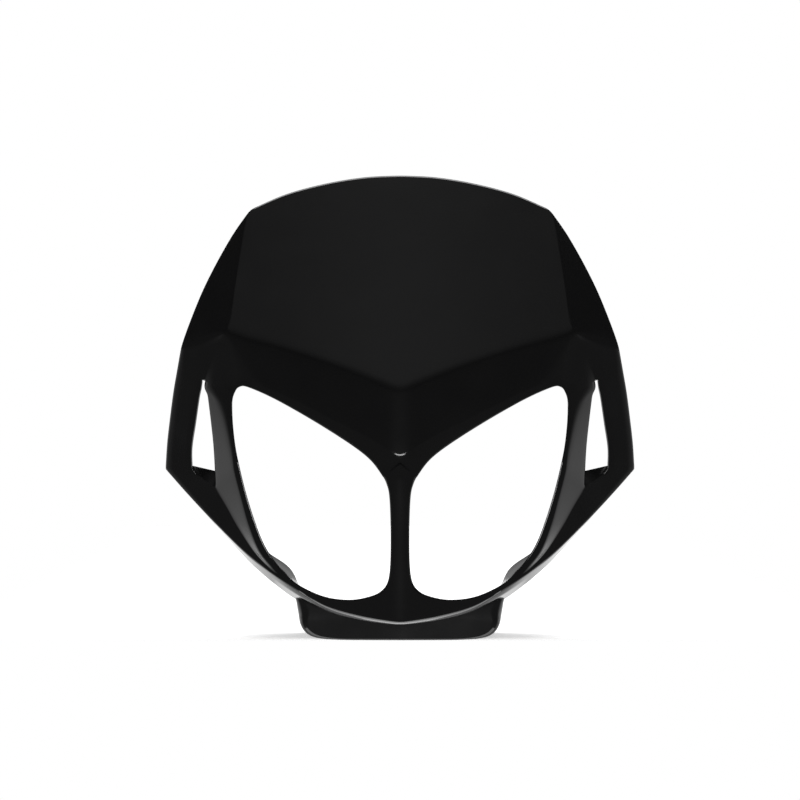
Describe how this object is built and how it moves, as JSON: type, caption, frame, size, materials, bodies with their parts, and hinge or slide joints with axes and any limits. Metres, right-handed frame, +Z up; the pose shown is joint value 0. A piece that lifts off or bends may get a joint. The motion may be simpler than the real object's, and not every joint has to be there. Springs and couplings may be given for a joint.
{
  "type": "headlight cowl",
  "caption": "Moulded mask that fronts a motorcycle's twin headlights, with a raked brow, a pointed beak between the lamp openings, slim side vents and a skirt below the chin.",
  "frame": {"origin": "centre of the footprint at the bottom of the skirt", "axes": "+Z up as fitted, front towards -Y, symmetric about X = 0"},
  "size_m": [0.296, 0.1102, 0.292],
  "materials": {
    "shell": "gloss"
  },
  "bodies": {
    "root": {"cowl": "shell"}
  },
  "joints": []
}
